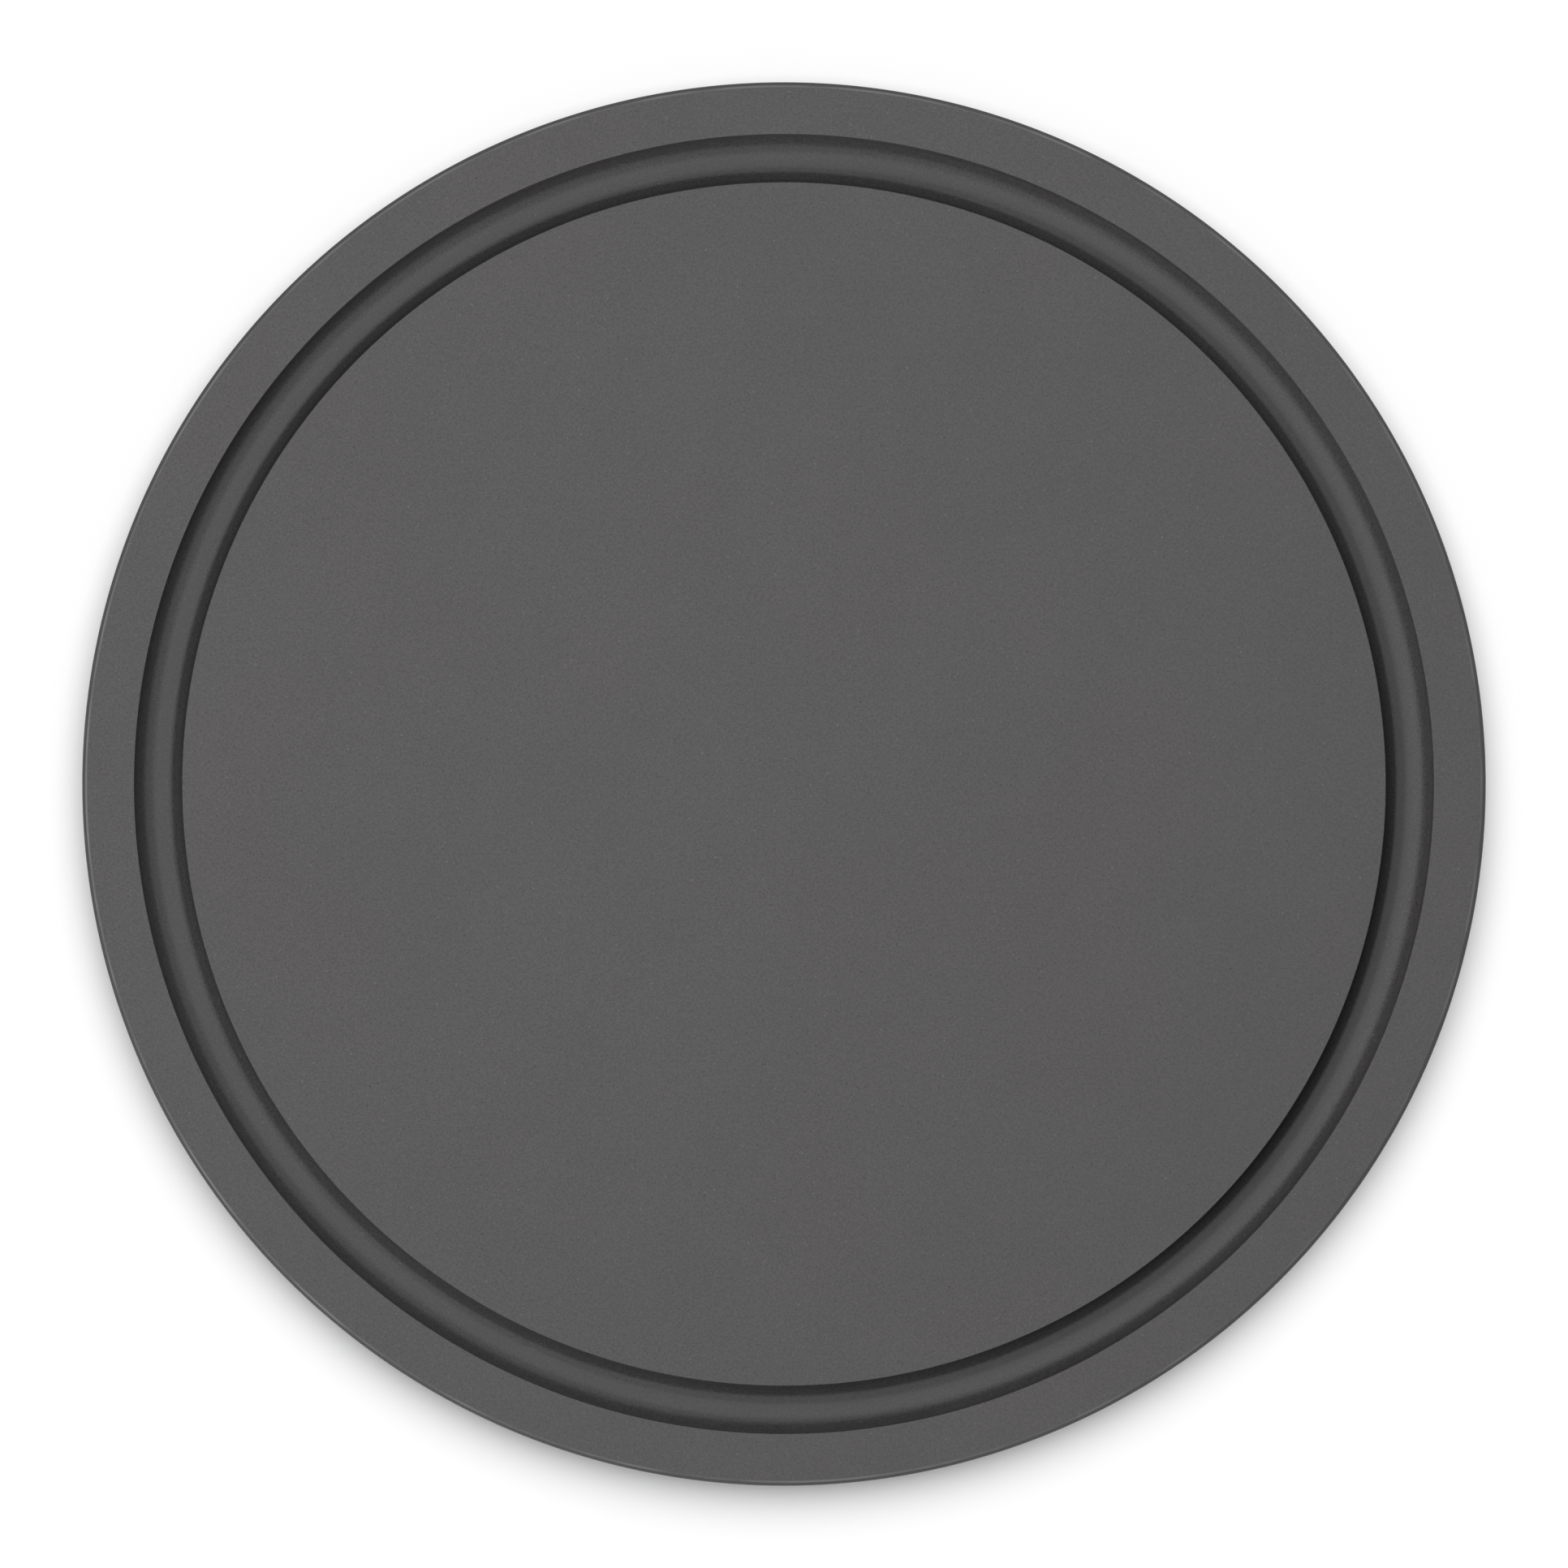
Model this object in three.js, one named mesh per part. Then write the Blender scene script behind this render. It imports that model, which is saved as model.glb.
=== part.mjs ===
// Round cutting board with a juice groove, in millimetres, +Z up.
// The origin is the centre of the underside, so the board stands on Z = 0.
// The board is a stack of bonded fibre sheets, turned round and then routed.

import * as THREE from "three";

// Driving sizes
const boardDiameter = 350;
const rimWidth = 13; // from the outer edge in to the groove
const grooveWidth = 12; // across the groove, at the cutting face
const grooveDepth = 5;
const sheetThickness = 2;
const edgeChamfer = 1; // on the upper and the lower outer edge

// The bonded sheets, from the underside to the cutting face
const sheetNames = [
  "underside_face",
  "lower_core",
  "middle_core",
  "groove_floor_core",
  "upper_core",
  "cutting_face",
];

// How finely the round surfaces are faceted
const turnFacets = 120; // round the board
const grooveFacetAngle = THREE.MathUtils.degToRad(7); // across the groove

// Dyed fibre composite: slate grey, satin
const compositeColour = 0x5c5c5c;
const compositeRoughness = 0.55;
const compositeMetalness = 0;

// Sizes worked out from the driving sizes
const boardRadius = boardDiameter / 2;
const boardThickness = sheetNames.length * sheetThickness;
const grooveHalfWidth = grooveWidth / 2;
const grooveMiddleRadius = boardRadius - rimWidth - grooveHalfWidth;
const grooveFloorZ = boardThickness - grooveDepth;
// The cutter's radius gives the groove its width at the stated depth.
const cutterRadius = (grooveHalfWidth ** 2 + grooveDepth ** 2) / (2 * grooveDepth);
const cutterCentreZ = grooveFloorZ + cutterRadius;

// A profile is a list of (radius, height) points. It runs outwards along the bottom,
// up the outside and back inwards along the top, so that its faces point out.
const point = (radius, height) => new THREE.Vector2(radius, height);

// Angle of the groove's wall at a height, measured round the cutter from straight down
function wallAngle(height) {
  const cosine = (cutterCentreZ - height) / cutterRadius;
  return Math.acos(THREE.MathUtils.clamp(cosine, -1, 1));
}

// One wall of the groove, from one height to another.
// Side is -1 for the wall towards the field and +1 for the wall towards the rim.
function grooveWall(side, fromHeight, toHeight) {
  const fromAngle = wallAngle(fromHeight);
  const toAngle = wallAngle(toHeight);
  const steps = Math.max(1, Math.round(Math.abs(toAngle - fromAngle) / grooveFacetAngle));
  const wall = [];
  for (let step = 0; step <= steps; step += 1) {
    const angle = THREE.MathUtils.lerp(fromAngle, toAngle, step / steps);
    const radius = grooveMiddleRadius + side * cutterRadius * Math.sin(angle);
    wall.push(point(radius, cutterCentreZ - cutterRadius * Math.cos(angle)));
  }
  return wall;
}

// The outer edge of a sheet, from its bottom to its top.
// Only the lowest and the highest sheet are chamfered.
function outerEdge(sheet) {
  const lowest = sheet.bottom === 0;
  const highest = sheet.top === boardThickness;
  const below = lowest
    ? [point(boardRadius - edgeChamfer, sheet.bottom), point(boardRadius, edgeChamfer)]
    : [point(boardRadius, sheet.bottom)];
  const above = highest
    ? [point(boardRadius, sheet.top - edgeChamfer), point(boardRadius - edgeChamfer, sheet.top)]
    : [point(boardRadius, sheet.top)];
  return [...below, ...above];
}

// A sheet below the groove is a whole disc.
function discProfile(sheet) {
  return [point(0, sheet.bottom), ...outerEdge(sheet), point(0, sheet.top)];
}

// The sheet under the groove's floor is a disc with a shallow channel in its top.
function channelProfile(sheet) {
  const outerWall = grooveWall(1, sheet.top, grooveFloorZ);
  const innerWall = grooveWall(-1, grooveFloorZ, sheet.top);
  return [
    point(0, sheet.bottom),
    ...outerEdge(sheet),
    ...outerWall,
    ...innerWall.slice(1), // the floor's lowest point is on both walls
    point(0, sheet.top),
  ];
}

// A sheet that the groove cuts through leaves a disc inside it
function fieldProfile(sheet) {
  return [point(0, sheet.bottom), ...grooveWall(-1, sheet.bottom, sheet.top), point(0, sheet.top)];
}

// and a ring outside it.
function rimProfile(sheet) {
  const outerWall = grooveWall(1, sheet.top, sheet.bottom);
  return [...outerWall.slice(-1), ...outerEdge(sheet), ...outerWall];
}

function turnedPiece(name, profile) {
  const geometry = new THREE.LatheGeometry(profile, turnFacets);
  geometry.rotateX(Math.PI / 2); // the lathe turns about Y
  const material = new THREE.MeshStandardMaterial({
    color: compositeColour,
    roughness: compositeRoughness,
    metalness: compositeMetalness,
  });
  const mesh = new THREE.Mesh(geometry, material);
  mesh.name = name;
  return mesh;
}

function sheetPieces(name, index) {
  const sheet = { bottom: index * sheetThickness, top: (index + 1) * sheetThickness };
  if (sheet.top <= grooveFloorZ) {
    return [turnedPiece(name, discProfile(sheet))];
  }
  if (sheet.bottom < grooveFloorZ) {
    return [turnedPiece(name, channelProfile(sheet))];
  }
  return [
    turnedPiece(`${name}_field`, fieldProfile(sheet)),
    turnedPiece(`${name}_rim`, rimProfile(sheet)),
  ];
}

const board = new THREE.Group();
board.name = "round_cutting_board";
board.add(...sheetNames.flatMap(sheetPieces));

export default board;
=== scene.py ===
# %% [markdown]
# # A round cutting board with a juice groove
#
# The board is a slate-grey disc, taken to be dyed wood fibre and resin: flat sheets that
# are pressed into one stack, cut round, and then routed. A round-nosed cutter runs a
# juice groove near the edge. The groove cuts right through the upper sheets, so each of
# those is a field disc inside it and a rim ring outside it. The frame holds those pieces
# at their real size, and this lesson makes a fine version of each one in its place.

# %% Load the frame
import math

import bpy
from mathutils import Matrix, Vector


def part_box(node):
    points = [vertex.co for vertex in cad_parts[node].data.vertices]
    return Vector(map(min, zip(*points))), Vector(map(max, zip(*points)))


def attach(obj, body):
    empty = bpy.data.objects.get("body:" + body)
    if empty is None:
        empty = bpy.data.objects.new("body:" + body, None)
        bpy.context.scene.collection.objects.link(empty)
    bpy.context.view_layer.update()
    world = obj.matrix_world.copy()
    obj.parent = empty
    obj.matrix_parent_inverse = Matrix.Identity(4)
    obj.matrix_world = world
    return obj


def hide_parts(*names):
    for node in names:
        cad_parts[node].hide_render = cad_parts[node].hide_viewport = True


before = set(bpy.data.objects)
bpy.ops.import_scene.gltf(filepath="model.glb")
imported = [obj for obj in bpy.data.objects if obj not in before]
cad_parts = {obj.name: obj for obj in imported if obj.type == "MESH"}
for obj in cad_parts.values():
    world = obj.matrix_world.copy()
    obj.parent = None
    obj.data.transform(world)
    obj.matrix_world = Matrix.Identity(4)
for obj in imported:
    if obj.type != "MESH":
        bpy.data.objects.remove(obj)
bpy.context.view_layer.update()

print("frame nodes:", ", ".join(sorted(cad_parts)))

# %% [markdown]
# ## Sizes
#
# The disc's radius and thickness, and the height of every sheet, are read from the
# frame, so nothing has to be fitted. The groove is a round channel, and a box doesn't
# say how wide or deep a channel is, so those sizes are written here, in metres. The
# cutter's radius follows from them, and the cell compares the groove's wall with the
# frame's own field disc.

# %% Read the disc and set out the groove
BOARD_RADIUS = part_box("underside_face")[1].x
BOARD_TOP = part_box("cutting_face_rim")[1].z
RIM_WIDTH = 0.013
GROOVE_WIDTH = 0.012
GROOVE_DEPTH = 0.005

half_width = GROOVE_WIDTH / 2
CUTTER_RADIUS = (half_width**2 + GROOVE_DEPTH**2) / (2 * GROOVE_DEPTH)
CUTTER_PLACE = (
    BOARD_RADIUS - RIM_WIDTH - half_width,
    BOARD_TOP - GROOVE_DEPTH + CUTTER_RADIUS,
)


def wall_angle(height):
    """Angle round the cutter, from straight down, of the groove's wall at a height."""
    return math.acos((CUTTER_PLACE[1] - height) / CUTTER_RADIUS)


def wall_radius(side, height):
    """Distance of the wall from the disc's middle: side -1 is the field's, +1 the rim's."""
    return CUTTER_PLACE[0] + side * CUTTER_RADIUS * math.sin(wall_angle(height))


frame_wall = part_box("cutting_face_field")[1].x
drawn_wall = wall_radius(-1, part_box("cutting_face_field")[0].z)
print(f"board: radius {BOARD_RADIUS * 1000:.1f} mm, thickness {BOARD_TOP * 1000:.1f} mm")
print(f"cutter: radius {CUTTER_RADIUS * 1000:.2f} mm")
print(f"field disc's wall: frame {frame_wall * 1000:.2f}, drawn {drawn_wall * 1000:.2f} mm")

# %% [markdown]
# ## A pen and a lathe
#
# Every piece is round, so each one is drawn as half of its section and then turned about
# the disc's axis. Cutting the groove with a boolean torus would also work, but the lips
# and the edge need small rounded corners, and those are easier to draw than to bevel
# afterwards. The pen is a single point: extruding it draws a straight stroke, and
# spinning it about a centre draws an arc. The lathe is one more spin, about Z.
#
# A section runs outwards along the bottom, up the outside and back along the top, so
# a turn to the left is a positive angle.

# %% The pen
ARC_STEP = math.radians(1.5)  # fine enough that the groove shades as one smooth curve
CORNER_STEP = math.radians(7.5)

pen = {"at": (0.0, 0.0)}


def start_section(name, radius, height):
    """Puts the pen down in the XZ plane, in a new mesh of this name."""
    bpy.ops.object.select_all(action="DESELECT")
    bpy.ops.mesh.primitive_plane_add(location=(radius, 0, height))
    bpy.context.object.name = name
    bpy.context.object.data.name = name
    bpy.ops.object.transform_apply(location=True, rotation=True, scale=True)
    bpy.ops.object.mode_set(mode="EDIT")
    bpy.ops.mesh.select_all(action="SELECT")
    bpy.ops.mesh.merge(type="CENTER")
    pen["at"] = (radius, height)


def line_to(radius, height):
    """Draws a straight stroke to a point."""
    along = (radius - pen["at"][0], 0, height - pen["at"][1])
    bpy.ops.mesh.extrude_vertices_move(TRANSFORM_OT_translate={"value": along})
    pen["at"] = (radius, height)


def arc_about(centre, angle, step):
    """Draws an arc about a centre, turning left where the angle is positive."""
    steps = max(1, round(abs(angle) / step))
    bpy.ops.mesh.spin(
        steps=steps,
        angle=angle,
        center=(centre[0], 0, centre[1]),
        axis=(0, 1, 0),
    )
    across = pen["at"][0] - centre[0]
    up = pen["at"][1] - centre[1]
    pen["at"] = (
        centre[0] + across * math.cos(angle) - up * math.sin(angle),
        centre[1] + across * math.sin(angle) + up * math.cos(angle),
    )


# %% The lathe
TURN_STEPS = 480
SEAM_REACH = 1e-6  # points closer than this are one point
CREASE_ANGLE = math.radians(30)


def turn_section():
    """Spins the drawn half section into a closed solid and returns its object."""
    bpy.ops.mesh.select_all(action="SELECT")
    bpy.ops.mesh.remove_doubles(threshold=SEAM_REACH)
    bpy.ops.mesh.spin(
        steps=TURN_STEPS, angle=math.tau, center=(0, 0, 0), axis=(0, 0, 1)
    )
    bpy.ops.mesh.select_all(action="SELECT")
    bpy.ops.mesh.remove_doubles(threshold=SEAM_REACH)
    bpy.ops.mesh.normals_make_consistent(inside=False)
    bpy.ops.object.mode_set(mode="OBJECT")
    bpy.ops.object.shade_smooth_by_angle(angle=CREASE_ANGLE)
    piece = bpy.context.object
    print(f"{piece.name}: {len(piece.data.polygons)} faces")
    return piece


# %% [markdown]
# ## Strokes that several pieces share
#
# The maker breaks every sharp edge of a board, so that it doesn't cut the hand or chip.
# The outer edge has a chamfer whose two corners are softly rounded. On the board that
# rounding catches a thin line of light, and the finish paints that line in as a highlight.
# The lips of the groove only have a fine break. A short extra stroke on the flat beside
# a rounded corner keeps the flat shading flat.

# %% Edge and lip strokes
EDGE_CHAMFER = 0.001
EDGE_ROUNDING = 0.0006
LIP_ROUNDING = 0.0001
FLAT_KEEPER = 0.0004

HALF_RIGHT = math.radians(45)
corner_reach = EDGE_ROUNDING * math.tan(HALF_RIGHT / 2)
chamfer_inside = BOARD_RADIUS - EDGE_CHAMFER - corner_reach
# the straight part of the chamfer along each axis, between its rounded corners
chamfer_run = EDGE_CHAMFER - 2 * corner_reach * math.cos(HALF_RIGHT)


def lower_edge(bottom):
    """From the flat underside round the lower chamfer to the outer wall."""
    line_to(chamfer_inside - FLAT_KEEPER, bottom)
    line_to(chamfer_inside, bottom)
    arc_about((chamfer_inside, bottom + EDGE_ROUNDING), HALF_RIGHT, CORNER_STEP)
    line_to(pen["at"][0] + chamfer_run, pen["at"][1] + chamfer_run)
    wall_start = bottom + EDGE_CHAMFER + corner_reach
    arc_about((BOARD_RADIUS - EDGE_ROUNDING, wall_start), HALF_RIGHT, CORNER_STEP)


def upper_edge(top):
    """From the outer wall round the upper chamfer to the flat rim."""
    wall_end = top - EDGE_CHAMFER - corner_reach
    line_to(BOARD_RADIUS, wall_end)
    arc_about((BOARD_RADIUS - EDGE_ROUNDING, wall_end), HALF_RIGHT, CORNER_STEP)
    line_to(pen["at"][0] - chamfer_run, pen["at"][1] + chamfer_run)
    arc_about((chamfer_inside, top - EDGE_ROUNDING), HALF_RIGHT, CORNER_STEP)
    line_to(chamfer_inside - FLAT_KEEPER, top)


# The lip's rounding touches the flat above and the cutter's circle beside it.
lip_rise = CUTTER_PLACE[1] - (BOARD_TOP - LIP_ROUNDING)
lip_turn = math.acos(lip_rise / (CUTTER_RADIUS + LIP_ROUNDING))
lip_reach = (CUTTER_RADIUS + LIP_ROUNDING) * math.sin(lip_turn)


def lip_place(side):
    """Centre of the lip's rounding: side -1 is the field's lip, +1 the rim's."""
    return (CUTTER_PLACE[0] + side * lip_reach, BOARD_TOP - LIP_ROUNDING)


print(f"flat field out to radius {lip_place(-1)[0] * 1000:.2f} mm")
print(f"flat rim in to radius {lip_place(1)[0] * 1000:.2f} mm")

# %% [markdown]
# ## The sheets below the groove
#
# The bottom sheet is what the board lies on, and its lower edge is chamfered like the
# upper one. The two sheets above it are whole discs that show only at the outer wall.
# Each one is its own closed solid, as it was before the press bonded it to the others.


def fit_to_frame(piece, node):
    """The piece stands for a frame node: it hangs from the root body, and the node is
    hidden.
    """
    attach(piece, "root")
    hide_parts(node)
    return piece


def sheet_heights(node):
    """Bottom and top of a frame node's sheet."""
    low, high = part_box(node)
    return low.z, high.z


pieces = []

# %% Underside sheet
bottom, top = sheet_heights("underside_face")
start_section("underside_disc", 0, bottom)
lower_edge(bottom)
line_to(BOARD_RADIUS, top)
line_to(0, top)
pieces.append(fit_to_frame(turn_section(), "underside_face"))

# %% Lower and middle core sheets
for node in ("lower_core", "middle_core"):
    bottom, top = sheet_heights(node)
    start_section(f"{node}_disc", 0, bottom)
    line_to(BOARD_RADIUS, bottom)
    line_to(BOARD_RADIUS, top)
    line_to(0, top)
    pieces.append(fit_to_frame(turn_section(), node))

# %% [markdown]
# ## The sheet under the groove's floor
#
# The cutter's tip stops inside this sheet, so it is still one disc, with a shallow round
# channel in its top. The channel is one arc about the cutter's centre, from the rim's
# wall through the floor to the field's wall.

# %% Groove floor sheet
bottom, top = sheet_heights("groove_floor_core")
start_section("groove_floor_disc", 0, bottom)
line_to(BOARD_RADIUS, bottom)
line_to(BOARD_RADIUS, top)
line_to(wall_radius(1, top), top)
arc_about(CUTTER_PLACE, -2 * wall_angle(top), ARC_STEP)
line_to(0, top)
pieces.append(fit_to_frame(turn_section(), "groove_floor_core"))

# %% [markdown]
# ## The sheets that the groove cuts through
#
# Above its floor the groove parts each sheet into a field disc and a rim ring. The inner
# wall of the groove belongs to the disc and the outer wall to the ring. The ring's half
# section doesn't reach the axis: its outline closes on itself, and the lathe makes a
# closed hoop of it.

# %% Upper core sheet
bottom, top = sheet_heights("upper_core_field")
wall_turn = wall_angle(top) - wall_angle(bottom)

start_section("upper_core_disc", 0, bottom)
line_to(wall_radius(-1, bottom), bottom)
arc_about(CUTTER_PLACE, -wall_turn, ARC_STEP)
line_to(0, top)
pieces.append(fit_to_frame(turn_section(), "upper_core_field"))

start_section("upper_core_ring", wall_radius(1, bottom), bottom)
line_to(BOARD_RADIUS, bottom)
line_to(BOARD_RADIUS, top)
line_to(wall_radius(1, top), top)
arc_about(CUTTER_PLACE, -wall_turn, ARC_STEP)
pieces.append(fit_to_frame(turn_section(), "upper_core_rim"))

# %% [markdown]
# ## The cutting face
#
# The top sheet is the one that is cut on. Its field disc and its rim ring lie in one
# plane, and both end at the groove in a finely broken lip. The wall's arc stops where
# the lip's rounding touches it.

# %% Cutting field
bottom, top = sheet_heights("cutting_face_field")
lip_wall_turn = lip_turn - wall_angle(bottom)

start_section("cutting_field_disc", 0, bottom)
line_to(wall_radius(-1, bottom), bottom)
arc_about(CUTTER_PLACE, -lip_wall_turn, ARC_STEP)
arc_about(lip_place(-1), lip_turn, CORNER_STEP)
line_to(pen["at"][0] - FLAT_KEEPER, top)
line_to(0, top)
pieces.append(fit_to_frame(turn_section(), "cutting_face_field"))

# %% Cutting rim
start_section("cutting_rim_ring", wall_radius(1, bottom), bottom)
line_to(BOARD_RADIUS, bottom)
upper_edge(top)
line_to(lip_place(1)[0] + FLAT_KEEPER, top)
line_to(lip_place(1)[0], top)
arc_about(lip_place(1), lip_turn, CORNER_STEP)
arc_about(CUTTER_PLACE, -lip_wall_turn, ARC_STEP)
pieces.append(fit_to_frame(turn_section(), "cutting_face_rim"))

# %% [markdown]
# ## The finish: dyed fibre composite
#
# One material goes right through the board, so all the pieces share it, and it reads
# Object coordinates, which run on from one piece to the next like a block of the real
# stuff. It is built up in layers, as the eye takes it in: a grey of felted fibres, soft
# clouds in the dye, a few pale and dark specks, the edges of the plies, painted shade in
# the groove and on the outer edge, and a painted highlight along the rounded edge.

# %% Start the material
composite = bpy.data.materials.new("fibre_composite")
composite.use_nodes = True
nodes = composite.node_tree.nodes
links = composite.node_tree.links
surface = nodes["Principled BSDF"]
place = nodes.new("ShaderNodeTexCoord").outputs["Object"]


def feed(socket, value):
    """Links an output into a socket, or sets the socket to a plain value."""
    if isinstance(value, bpy.types.NodeSocket):
        links.new(value, socket)
    else:
        socket.default_value = value


def stretched(x, y, z):
    """The place in the board, scaled along each axis."""
    mapping = nodes.new("ShaderNodeMapping")
    feed(mapping.inputs["Vector"], place)
    feed(mapping.inputs["Scale"], (x, y, z))
    return mapping.outputs["Vector"]


def clouds(vector, scale, detail=2.0):
    """Soft noise from 0 to 1: scale is how many lumps fit in a metre."""
    noise = nodes.new("ShaderNodeTexNoise")
    feed(noise.inputs["Vector"], vector)
    feed(noise.inputs["Scale"], scale)
    feed(noise.inputs["Detail"], detail)
    return noise.outputs["Fac"]


def spread(value, low, high, out_low=0.0, out_high=1.0, shape="SMOOTHSTEP"):
    """Maps low..high onto out_low..out_high and stops at the ends."""
    spreader = nodes.new("ShaderNodeMapRange")
    spreader.interpolation_type = shape
    feed(spreader.inputs["Value"], value)
    feed(spreader.inputs["From Min"], low)
    feed(spreader.inputs["From Max"], high)
    feed(spreader.inputs["To Min"], out_low)
    feed(spreader.inputs["To Max"], out_high)
    return spreader.outputs["Result"]


def work_out(operation, first, second=0.0):
    """One step of arithmetic."""
    step = nodes.new("ShaderNodeMath")
    step.operation = operation
    feed(step.inputs[0], first)
    feed(step.inputs[1], second)
    return step.outputs["Value"]


def lay_over(under, over, amount, blend="MIX"):
    """Lays a colour over another, by an amount from 0 to 1."""
    layer = nodes.new("ShaderNodeMix")
    layer.data_type = "RGBA"
    layer.blend_type = blend
    sockets = {socket.identifier: socket for socket in layer.inputs}
    feed(sockets["Factor_Float"], amount)
    feed(sockets["A_Color"], under)
    feed(sockets["B_Color"], over)
    results = {socket.identifier: socket for socket in layer.outputs}
    return results["Result_Color"]


# %% [markdown]
# ### Felted fibres
#
# Close to, the grey is a felt of short fibres that lie every way in the sheet. Two fine
# noises, one pulled out along X and one along Y, cross each other and read as fibres
# without a direction. A slower noise clouds the dye a little, and a very slow one turns
# the grey slightly warm in places.

# %% Fibre grain and dye clouds
FIBRE_DARK = (0.0329, 0.0313, 0.0320, 1)
FIBRE_LIGHT = (0.0651, 0.0619, 0.0634, 1)
CLOUD_GREY = (0.95, 0.95, 0.95, 1)
WARM_GREY = (1.03, 0.99, 1.0, 1)
FIBRES_PER_METRE = 2400
DYE_CLOUDS_PER_METRE = 45
WARM_CLOUDS_PER_METRE = 18
WARM_SHARE = 0.4

fibres_along = clouds(stretched(0.6, 1.2, 1.0), FIBRES_PER_METRE)
fibres_across = clouds(stretched(1.2, 0.6, 1.0), FIBRES_PER_METRE)
felt = work_out("MULTIPLY", work_out("ADD", fibres_along, fibres_across), 0.5)
grain = spread(felt, 0.36, 0.64, shape="LINEAR")  # the range that the felt keeps to
colour = lay_over(FIBRE_DARK, FIBRE_LIGHT, grain)

dye_clouds = spread(clouds(place, DYE_CLOUDS_PER_METRE), 0.35, 0.65)
colour = lay_over(colour, CLOUD_GREY, dye_clouds, "MULTIPLY")
warm_noise = clouds(place, WARM_CLOUDS_PER_METRE, detail=1.0)
warm_clouds = spread(warm_noise, 0.45, 0.7, 0.0, WARM_SHARE)
colour = lay_over(colour, WARM_GREY, warm_clouds, "MULTIPLY")

# %% [markdown]
# ### Specks
#
# The face has a few pale specks about half a millimetre across, likely undyed fibres,
# and fewer dark ones. A Voronoi texture scatters points through the board, and a speck
# is the small ball round each point, so the same specks are cut open wherever the board
# is cut.

# %% Pale and dark specks
PALE_SPECK = (0.135, 0.135, 0.135, 1)
DARK_SPECK = (0.028, 0.028, 0.028, 1)
PALE_STRENGTH = 0.5
DARK_STRENGTH = 0.35
SPECK_CORE = 0.45  # share of the radius that has the full colour


def specks(per_metre, radius, keep):
    """Balls of a radius about scattered points, of which a share is kept."""
    scatter = nodes.new("ShaderNodeTexVoronoi")
    feed(scatter.inputs["Vector"], place)
    feed(scatter.inputs["Scale"], per_metre)
    reach = radius * per_metre
    ball = spread(scatter.outputs["Distance"], SPECK_CORE * reach, reach, 1.0, 0.0)
    chance = nodes.new("ShaderNodeSeparateColor")
    feed(chance.inputs["Color"], scatter.outputs["Color"])
    kept = work_out("LESS_THAN", chance.outputs["Red"], keep)
    return work_out("MULTIPLY", ball, kept)


pale = specks(per_metre=330, radius=0.00030, keep=0.6)
colour = lay_over(colour, PALE_SPECK, work_out("MULTIPLY", pale, PALE_STRENGTH))
dark = specks(per_metre=250, radius=0.00028, keep=0.5)
colour = lay_over(colour, DARK_SPECK, work_out("MULTIPLY", dark, DARK_STRENGTH))

# %% [markdown]
# ### Cut plies
#
# On the outer wall and in the groove the cutter has gone through the stack, and on such
# a panel the thin plies show there as faint level lines. Noise that changes quickly with
# height and slowly round the board gives them, coarse for the plies and fine for the
# fibres within one. A flat face lies within one ply, so the lines get stronger the more
# a surface turns away from straight up, and they are clearest on the outer wall.

# %% Ply lines on cut surfaces
PLY_SHADE = (0.74, 0.74, 0.75, 1)
COARSE_PLIES = (9, 9, 1100)  # lumps in a metre, along X, Y and Z
FINE_PLIES = (14, 14, 3600)
COARSE_SHARE = 0.7
LEVEL, UPRIGHT = 0.97, 0.05  # the part of the normal that points up or down

face_turn = nodes.new("ShaderNodeSeparateXYZ")
feed(face_turn.inputs["Vector"], nodes.new("ShaderNodeNewGeometry").outputs["Normal"])
levelness = work_out("ABSOLUTE", face_turn.outputs["Z"])
cut_face = spread(levelness, UPRIGHT, LEVEL, 1.0, 0.0)
coarse_noise = clouds(stretched(*COARSE_PLIES), 1, detail=1.0)
coarse_plies = work_out("MULTIPLY", spread(coarse_noise, 0.40, 0.60), COARSE_SHARE)
fine_noise = clouds(stretched(*FINE_PLIES), 1, detail=1.0)
fine_plies = work_out("MULTIPLY", spread(fine_noise, 0.42, 0.62), 1 - COARSE_SHARE)
plies = work_out("ADD", coarse_plies, fine_plies)
colour = lay_over(colour, PLY_SHADE, work_out("MULTIPLY", plies, cut_face), "MULTIPLY")

# %% [markdown]
# ### Painted shade on routed surfaces
#
# In the photograph the groove is darker than the face, its inner wall more than its
# outer one, and the outer edge is darker still. That shade is painted into the base
# colour: the groove is darkened, more towards its inner wall, and so is the outer edge.
# The groove is a ring about the axis, so a surface is in it if it lies on the cutter's
# circle.

# %% Distances from the axis and from a ring
xyz = nodes.new("ShaderNodeSeparateXYZ")
feed(xyz.inputs["Vector"], place)
across_squared = work_out("POWER", xyz.outputs["X"], 2.0)
along_squared = work_out("POWER", xyz.outputs["Y"], 2.0)
from_axis = work_out("SQRT", work_out("ADD", across_squared, along_squared))


def ring_distance(radius, height):
    """How far a point is from a level ring about the axis."""
    outwards = work_out("POWER", work_out("SUBTRACT", from_axis, radius), 2.0)
    upwards = work_out("POWER", work_out("SUBTRACT", xyz.outputs["Z"], height), 2.0)
    return work_out("SQRT", work_out("ADD", outwards, upwards))


# %% Painted shade where the cutter has been
PAINTED_SHADE_TINT = (0.50, 0.52, 0.53, 1)
ROUTED_FADE = 0.00015  # distance over which the groove and edge masks fade in
INNER_WALL_SHARE = 0.86  # how much of the shade the groove takes, from wall to wall
OUTER_WALL_SHARE = 0.42

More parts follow.
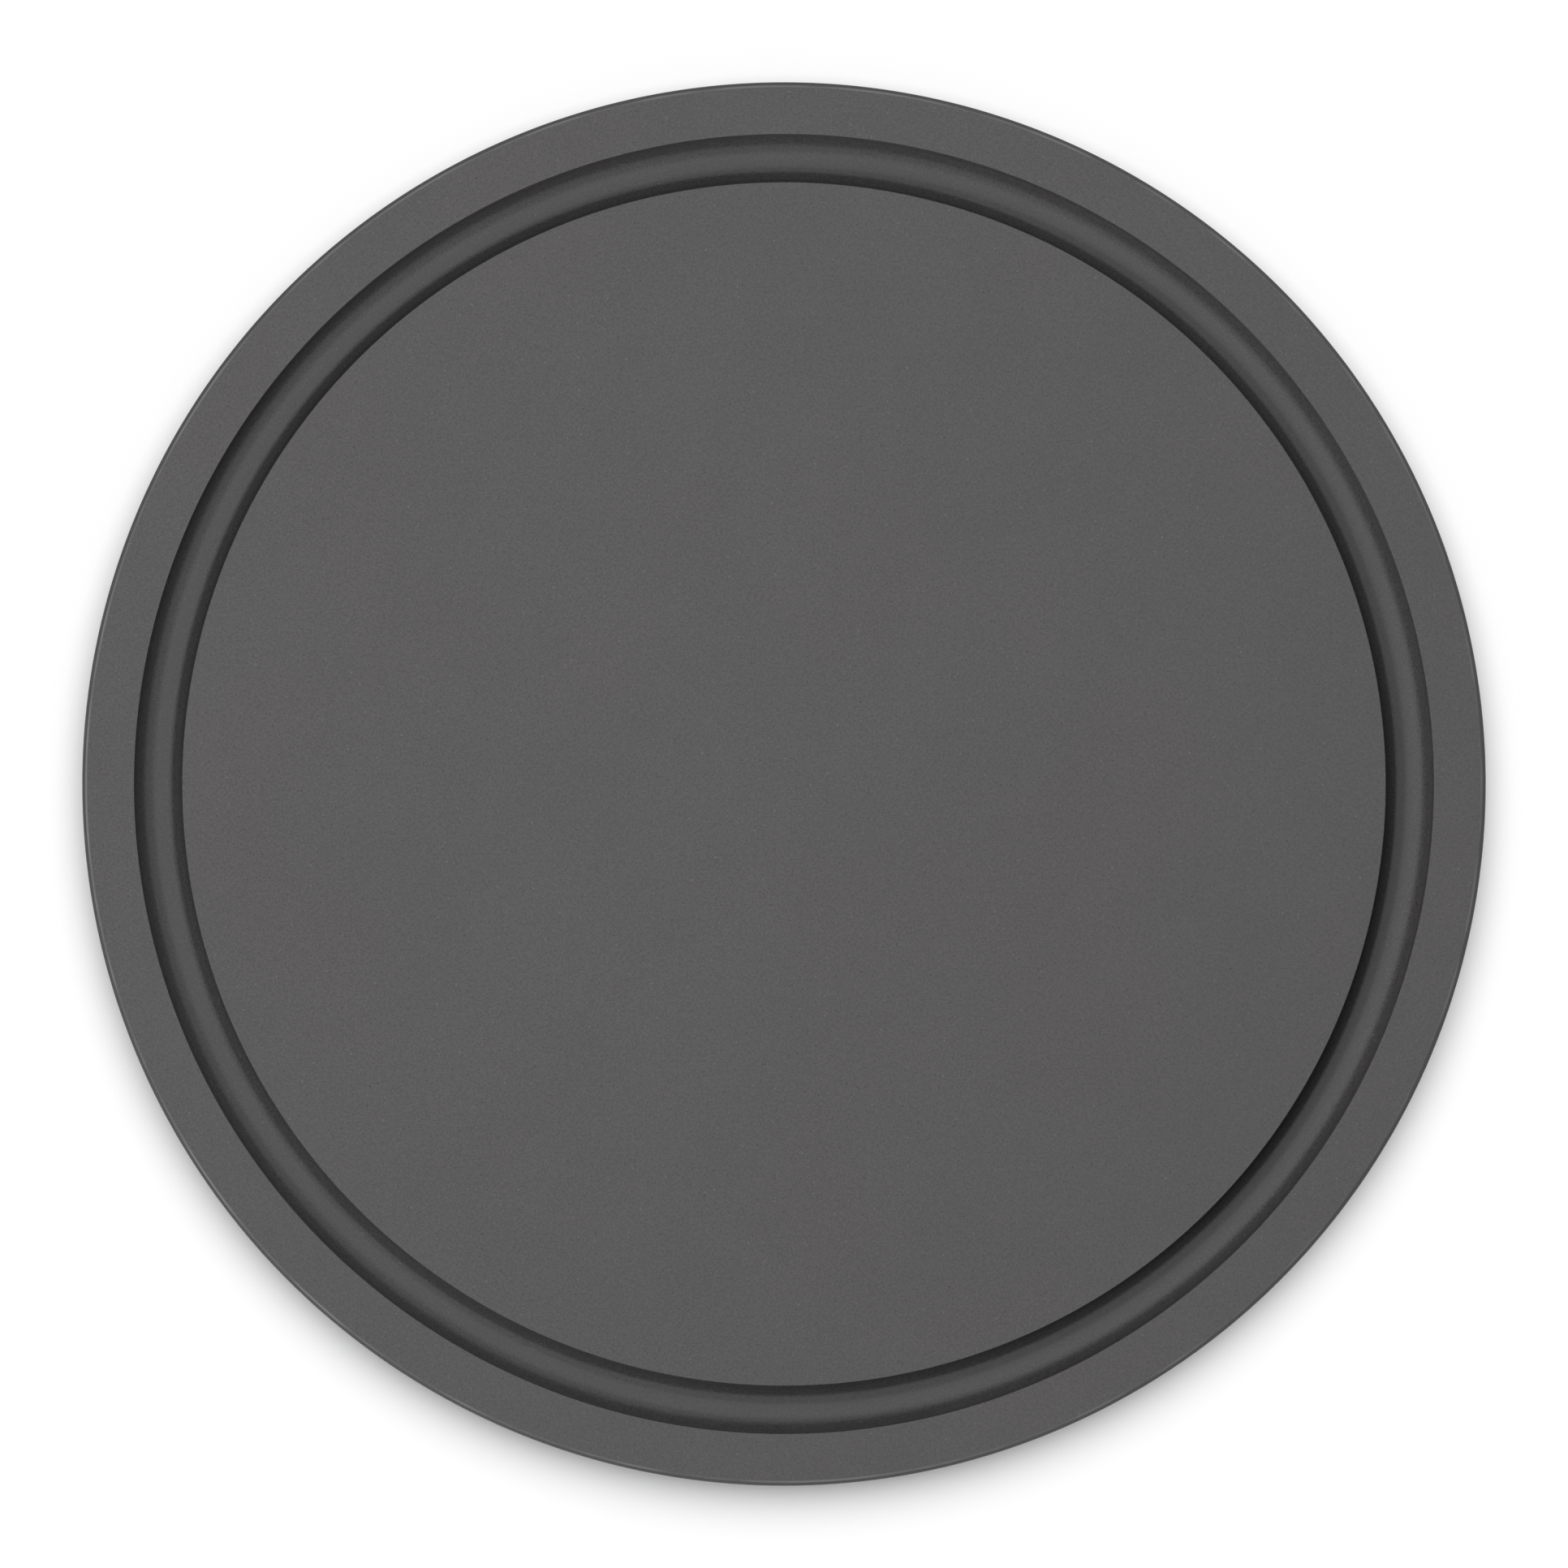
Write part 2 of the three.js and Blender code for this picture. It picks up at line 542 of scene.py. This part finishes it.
inner_lip = wall_radius(-1, BOARD_TOP)
outer_lip = wall_radius(1, BOARD_TOP)
from_cutter = ring_distance(*CUTTER_PLACE)
in_groove = spread(from_cutter, CUTTER_RADIUS, CUTTER_RADIUS + ROUTED_FADE, 1.0, 0.0)
inner_side = spread(from_axis, inner_lip, outer_lip, 1.0, 0.0, "LINEAR")
share = spread(inner_side, 0.0, 1.0, OUTER_WALL_SHARE, INNER_WALL_SHARE, "LINEAR")
edge_start = BOARD_RADIUS - EDGE_CHAMFER
on_edge = spread(from_axis, edge_start, edge_start + ROUTED_FADE)
painted_shade_amount = work_out("MAXIMUM", work_out("MULTIPLY", in_groove, share), on_edge)
# Painted shade: the groove and the outer edge are darkened in the base colour.
colour = lay_over(colour, PAINTED_SHADE_TINT, painted_shade_amount, "MULTIPLY")

# %% [markdown]
# ### Painted highlight on the edge
#
# The rounded upper corner of the chamfer shows in the photograph as a slightly paler
# line all the way round, stronger in some places than in others. The base colour is
# made paler along that corner, in patches: a painted highlight for the light that the
# rounding catches.

# %% Painted highlight along the edge
PAINTED_HIGHLIGHT_GREY = (0.12, 0.12, 0.12, 1)
HIGHLIGHT_CORE = 0.0001  # full strength this close to the corner, nothing beyond the reach
HIGHLIGHT_REACH = 0.00045
HIGHLIGHT_PATCHES_PER_METRE = 60

from_corner = ring_distance(edge_start, BOARD_TOP)
painted_highlight_line = spread(from_corner, HIGHLIGHT_CORE, HIGHLIGHT_REACH, 1.0, 0.0)
patchy = spread(clouds(place, HIGHLIGHT_PATCHES_PER_METRE), 0.35, 0.65, 0.3, 1.0)
# Painted highlight: the base colour turns paler along the chamfer's upper corner.
colour = lay_over(colour, PAINTED_HIGHLIGHT_GREY, work_out("MULTIPLY", painted_highlight_line, patchy))
feed(surface.inputs["Base Color"], colour)

# %% [markdown]
# ### Satin and relief
#
# The resin gives the board a satin face: it has no mirror image in it, but it turns a
# little paler under a wide light from above. The roughness varies with the felt, and the
# groove is smoother towards its inner wall. The fibres stand up by about a hundredth of
# a millimetre, which is enough to break the light into a fine grain.

# %% Roughness and bump
GRAIN_RELIEF = 0.00003
SATIN_ROUGHNESS = (0.27, 0.35)
INNER_BURNISH = 0.6  # what is left of the roughness at the inner lip
RESIN_IOR = 1.5

roughness = spread(felt, 0.3, 0.7, *SATIN_ROUGHNESS, "LINEAR")
inner_groove = work_out("MULTIPLY", in_groove, inner_side)
burnish = spread(inner_groove, 0.0, 1.0, 1.0, INNER_BURNISH, "LINEAR")
feed(surface.inputs["Roughness"], work_out("MULTIPLY", roughness, burnish))
surface.inputs["IOR"].default_value = RESIN_IOR

relief = nodes.new("ShaderNodeBump")
relief.inputs["Distance"].default_value = GRAIN_RELIEF
feed(relief.inputs["Height"], felt)
feed(surface.inputs["Normal"], relief.outputs["Normal"])

for piece in pieces:
    piece.data.materials.append(composite)
print(f"{composite.name}: {len(nodes)} nodes on {len(pieces)} pieces")

# %% [markdown]
# ## The floor
#
# The board lies on plain white paper. Paper is about 80% white, and that is the colour
# that throws light back onto the board. To the camera, and in reflections, it is pure
# white, so that the page runs out to white and still keeps the board's shadow.

# %% White paper
FLOOR_SIZE = 12.0
PAPER = (0.8, 0.8, 0.8, 1)
WHITE = (1, 1, 1, 1)


def seen_directly(tree):
    """1 for the rays of the camera, of reflections and of see-through surfaces, else 0."""
    rays = tree.nodes.new("ShaderNodeLightPath")
    total = rays.outputs["Is Camera Ray"]
    for kind in ("Is Glossy Ray", "Is Transmission Ray"):
        either = tree.nodes.new("ShaderNodeMath")
        either.operation = "MAXIMUM"
        tree.links.new(total, either.inputs[0])
        tree.links.new(rays.outputs[kind], either.inputs[1])
        total = either.outputs["Value"]
    return total


bpy.ops.object.select_all(action="DESELECT")
bpy.ops.mesh.primitive_plane_add(size=FLOOR_SIZE, location=(0, 0, 0))
floor = bpy.context.object
floor.name = "floor"
floor_paper = bpy.data.materials.new("white_paper")
floor_paper.use_nodes = True
paper_tree = floor_paper.node_tree
paper = paper_tree.nodes["Principled BSDF"]
paper.inputs["Roughness"].default_value = 1.0
paper.inputs["Specular IOR Level"].default_value = 0.0
paper_tone = paper_tree.nodes.new("ShaderNodeMix")
paper_tone.data_type = "RGBA"
tones = {socket.identifier: socket for socket in paper_tone.inputs}
tones["A_Color"].default_value = PAPER
tones["B_Color"].default_value = WHITE
paper_tree.links.new(seen_directly(paper_tree), tones["Factor_Float"])
results = {socket.identifier: socket for socket in paper_tone.outputs}
paper_tree.links.new(results["Result_Color"], paper.inputs["Base Color"])
floor.data.materials.append(floor_paper)
print(f"{floor.name}: {FLOOR_SIZE} m across")

# %% [markdown]
# ## The lights
#
# A wide softbox overhead gives the satin its even sheen. A nearer soft lamp over the
# middle lights the groove's outer wall more than its inner one. Two low lamps, a strong
# one at the lower left and a weak one at the top, lift the walls that face them. They
# cast no shadow, because a lamp that low would leave most of the groove in the shadow of
# its lip. All but the softbox stay out of the reflections, so that the groove has no hot
# spots.
#
# The board's shadow is soft and falls towards the lower edge of the picture. It comes
# from a wide sun that lights the floor alone, so that the floor is lit evenly out to its
# far edge and the board isn't lit twice.

# %% Lights on the board
def soft_lamp(name, place_at, width, watts):
    """A round soft lamp that faces the board and doesn't show to the camera."""
    bpy.ops.object.light_add(type="AREA", location=place_at)
    lamp = bpy.context.object
    lamp.name = name
    lamp.data.shape = "DISK"
    lamp.data.size = width
    lamp.data.energy = watts
    towards = -lamp.location
    lamp.rotation_euler = towards.to_track_quat("-Z", "Y").to_euler()
    lamp.visible_camera = False
    return lamp


def floor_link(lamp, state):
    """INCLUDE lights nothing but the floor, EXCLUDE lights everything else."""
    group = bpy.data.collections.new(f"{lamp.name}_floor")
    group.objects.link(floor)
    group.collection_objects[0].light_linking.link_state = state
    lamp.light_linking.receiver_collection = group


softbox = soft_lamp("overhead_softbox", (-0.65, 0.25, 2.0), width=3.5, watts=16.0)
key = soft_lamp("key_lamp", (-0.06, 0.06, 0.5), width=0.4, watts=0.8)
left_fill = soft_lamp("left_fill", (-1.22, -1.22, 0.4), width=0.6, watts=31.0)
top_fill = soft_lamp("top_fill", (0.44, 1.65, 0.5), width=0.6, watts=15.0)
for lamp in (left_fill, top_fill):
    lamp.data.use_shadow = False
for lamp in (key, left_fill, top_fill):
    lamp.visible_glossy = False
for lamp in (softbox, key, left_fill, top_fill):
    floor_link(lamp, "EXCLUDE")
    print(f"{lamp.name}: {lamp.data.energy:.2f} W")

# %% Sun on the floor
SUN_TILT = math.radians(19)
SUN_WIDTH = math.radians(72)
SUN_STRENGTH = 2.72
SUN_PLACE = (0, 0.5, 2)  # only for finding it in the viewport

bpy.ops.object.light_add(type="SUN", location=SUN_PLACE, rotation=(-SUN_TILT, 0, 0))
sun = bpy.context.object
sun.name = "floor_sun"
sun.data.angle = SUN_WIDTH
sun.data.energy = SUN_STRENGTH
floor_link(sun, "INCLUDE")
print(f"{sun.name}: {sun.data.energy} W/m2")

# %% [markdown]
# ## The room
#
# White walls would fill the shadows a little from all sides. The world stands for them:
# it is dim as a light and white where it is seen or reflected.

# %% World
ROOM_LIGHT = 0.2

world = bpy.data.worlds.new("studio")
bpy.context.scene.world = world
world.use_nodes = True
room = world.node_tree.nodes["Background"]
room.inputs["Color"].default_value = WHITE
room_level = world.node_tree.nodes.new("ShaderNodeMapRange")
room_level.inputs["To Min"].default_value = ROOM_LIGHT
room_level.inputs["To Max"].default_value = 1.0
world.node_tree.links.new(seen_directly(world.node_tree), room_level.inputs["Value"])
world.node_tree.links.new(room_level.outputs["Result"], room.inputs["Strength"])
print(f"{world.name}: {ROOM_LIGHT} as a light, 1.0 where it is seen")

# %% [markdown]
# ## The camera
#
# The photograph looks straight down at the middle of the board. The camera stands well
# back, so that the board hides little of its own shadow. The lens follows from the
# camera's height and from how much of the picture's width the board fills.

# %% Camera
CAMERA_HEIGHT = 3.0
SENSOR_WIDTH = 36.0
PHOTO_WIDTH = 1932
BOARD_PIXELS = 864.8  # the board's radius in the photograph, set so that the lips fit too

widest_height = BOARD_TOP - EDGE_CHAMFER
camera_reach = CAMERA_HEIGHT - widest_height
half_view = BOARD_RADIUS * (PHOTO_WIDTH / 2) / BOARD_PIXELS

bpy.ops.object.camera_add(location=(0, 0, CAMERA_HEIGHT), rotation=(0, 0, 0))
camera = bpy.context.object
camera.data.sensor_width = SENSOR_WIDTH
camera.data.lens = SENSOR_WIDTH / 2 * camera_reach / half_view
bpy.context.scene.camera = camera
bpy.context.scene.view_settings.view_transform = "Standard"
print(f"camera: {camera.data.lens:.1f} mm lens, {CAMERA_HEIGHT} m above the floor")
